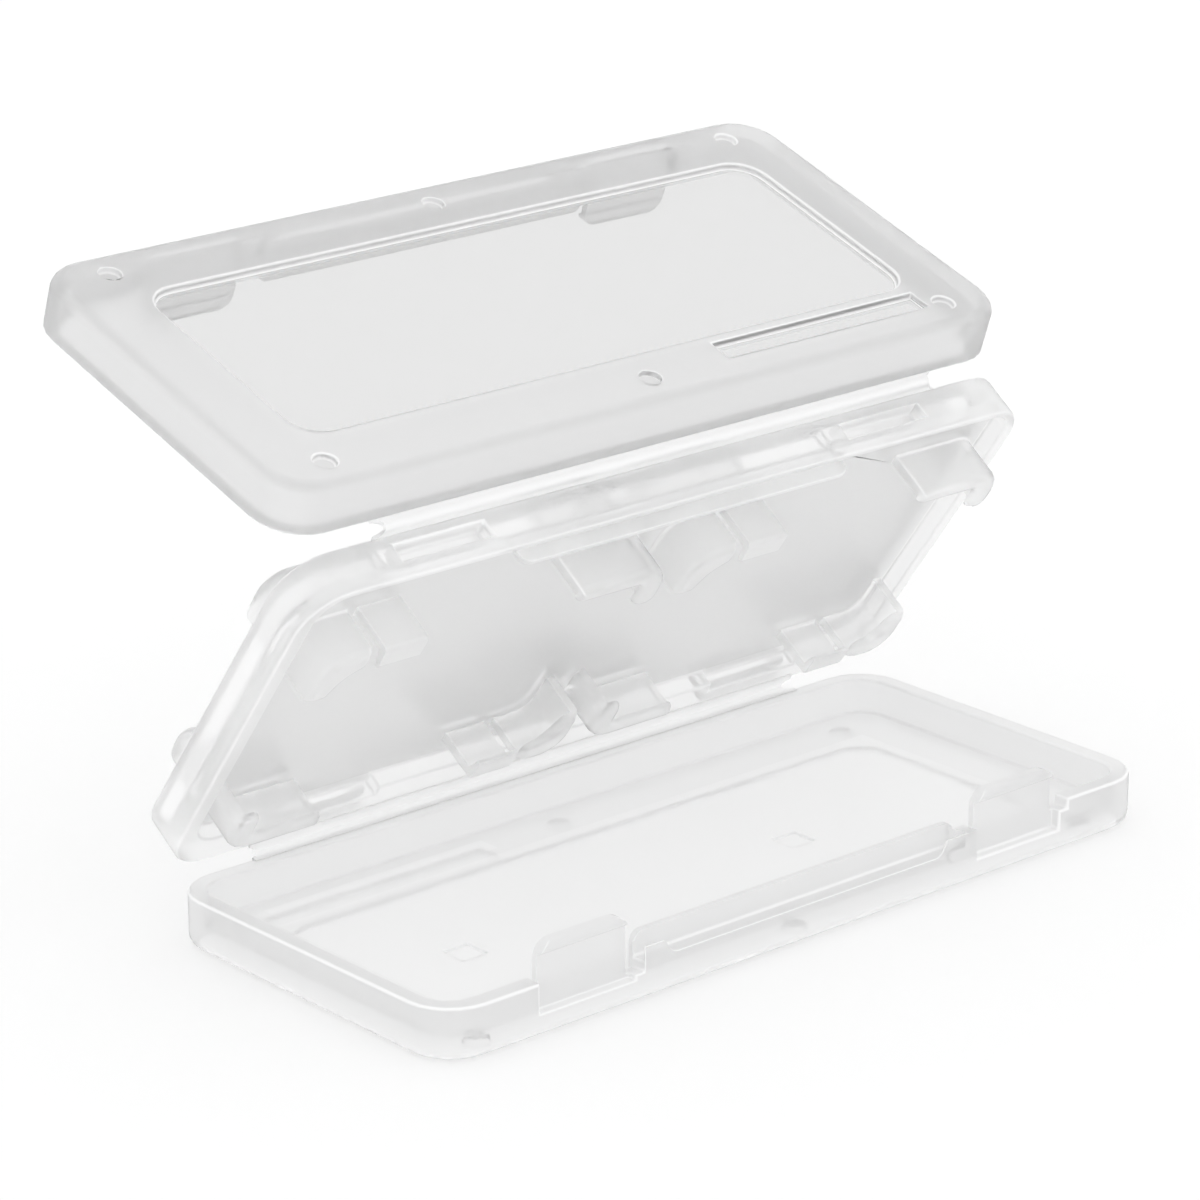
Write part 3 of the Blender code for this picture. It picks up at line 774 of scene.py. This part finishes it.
def camera():
    """The photograph's camera, aimed beside the tray's middle and rolled a little."""
    forward = Vector((math.sin(CAMERA_AZIMUTH) * math.cos(CAMERA_DROP),
                      math.cos(CAMERA_AZIMUTH) * math.cos(CAMERA_DROP), -math.sin(CAMERA_DROP)))
    right = Vector((math.cos(CAMERA_AZIMUTH), -math.sin(CAMERA_AZIMUTH), 0))
    up = right.cross(forward)
    spot = TRAY.translation - forward * CAMERA_DISTANCE + right * CAMERA_RIGHT + up * CAMERA_UP
    rolled_right = right * math.cos(CAMERA_ROLL) + up * math.sin(CAMERA_ROLL)
    rolled_up = up * math.cos(CAMERA_ROLL) - right * math.sin(CAMERA_ROLL)
    turn = Matrix((rolled_right, rolled_up, -forward)).transposed().to_4x4()
    lens = bpy.data.cameras.new("camera")
    lens.sensor_width = CAMERA_SENSOR
    lens.lens = CAMERA_LENS
    lens.clip_start = CAMERA_CLIP
    holder = add_object("camera", lens)
    holder.matrix_world = Matrix.Translation(spot) @ turn
    bpy.context.scene.camera = holder


def table():
    """A white table that takes soft shadows and is plain white in what the plastic shows of it."""
    bpy.ops.mesh.primitive_plane_add(size=TABLE_WIDTH)
    plane = bpy.context.object
    plane.name = "table"
    material, tree, shader = new_material("table_white")
    shader.inputs["Base Color"].default_value = grey(TABLE_TONE)
    shader.inputs["Roughness"].default_value = TABLE_ROUGHNESS
    shader.inputs["Specular IOR Level"].default_value = 0
    glow = tree.nodes.new("ShaderNodeEmission")
    glow.inputs["Strength"].default_value = TABLE_GLOW
    both = tree.nodes.new("ShaderNodeAddShader")
    feed(tree, shader.outputs["BSDF"], both.inputs[0])
    feed(tree, glow.outputs["Emission"], both.inputs[1])
    white = tree.nodes.new("ShaderNodeEmission")
    white.inputs["Strength"].default_value = 1
    path = tree.nodes.new("ShaderNodeLightPath").outputs
    seen = tree.nodes.new("ShaderNodeMixShader")
    feed(tree, largest_of(tree, [path["Is Transmission Ray"], path["Is Glossy Ray"]]),
         seen.inputs["Fac"])
    feed(tree, both.outputs["Shader"], seen.inputs[1])
    feed(tree, white.outputs["Emission"], seen.inputs[2])
    feed(tree, seen.outputs["Shader"], tree.nodes["Material Output"].inputs["Surface"])
    plane.data.materials.append(material)


def studio_light():
    """An even white surround and two weak lamps.

    The surround is as bright at its horizon as at its zenith. Its strength still comes from the
    direction, because Cycles casts no rays of its own towards a surround that is one plain value,
    and the card panel, which those rays light, would turn darker.
    """
    world = bpy.data.worlds.new("studio")
    bpy.context.scene.world = world
    world.use_nodes = True
    tree = world.node_tree
    direction = tree.nodes.new("ShaderNodeTexCoord").outputs["Generated"]
    height = tree.nodes.new("ShaderNodeMapRange")
    height.inputs["To Min"].default_value = HORIZON_LIGHT
    height.inputs["To Max"].default_value = ZENITH_LIGHT
    feed(tree, parts_of(tree, direction)[2], height.inputs["Value"])
    surround = tree.nodes["Background"]
    surround.inputs["Color"].default_value = grey(1)
    feed(tree, height.outputs["Result"], surround.inputs["Strength"])
    for name, place in LAMPS:
        lamp = bpy.data.lights.new(name, "AREA")
        lamp.size = LAMP_SIZE
        lamp.energy = LAMP_POWER
        holder = add_object(name, lamp)
        holder.location = place
        aim = Vector(LAMPS_AIM) - Vector(place)
        holder.rotation_euler = aim.to_track_quat("-Z", "Y").to_euler()


# The three leaves are one plastic. Their tones, pane tones, clearness, bending and haze differ only as
# painted light and shade: the lid, which takes the most light, is painted darker, and the panel and tray
# that it shades are painted lighter.
panel_plastic_painted_light = frosted_plastic("frosted_panel", PANEL_PANES, lowest_painted_highlight=0, tone=1.0,
                                clearness=0.82, pane_tone=0.84, pane_roughness=0.6,
                                bending=1.12, haze=8)
tray_plastic_painted_light = frosted_plastic("frosted_tray", SHELL_PANES, lowest_painted_highlight=0.7, tone=0.94,
                               clearness=0.8, pane_tone=0.98, pane_roughness=0.3,
                               bending=1.06, haze=30)
lid_plastic_painted_shade = frosted_plastic("frosted_lid", SHELL_PANES, lowest_painted_highlight=-1, tone=0.88,
                              clearness=0.8, pane_tone=0.85, pane_roughness=0.05,
                              bending=1.2, haze=15)
tray_and_lid(tray_plastic_painted_light, lid_plastic_painted_shade)
card_panel(panel_plastic_painted_light)
hinge_webs(panel_plastic_painted_light)
camera()
table()
studio_light()
bpy.context.scene.view_settings.view_transform = "Standard"
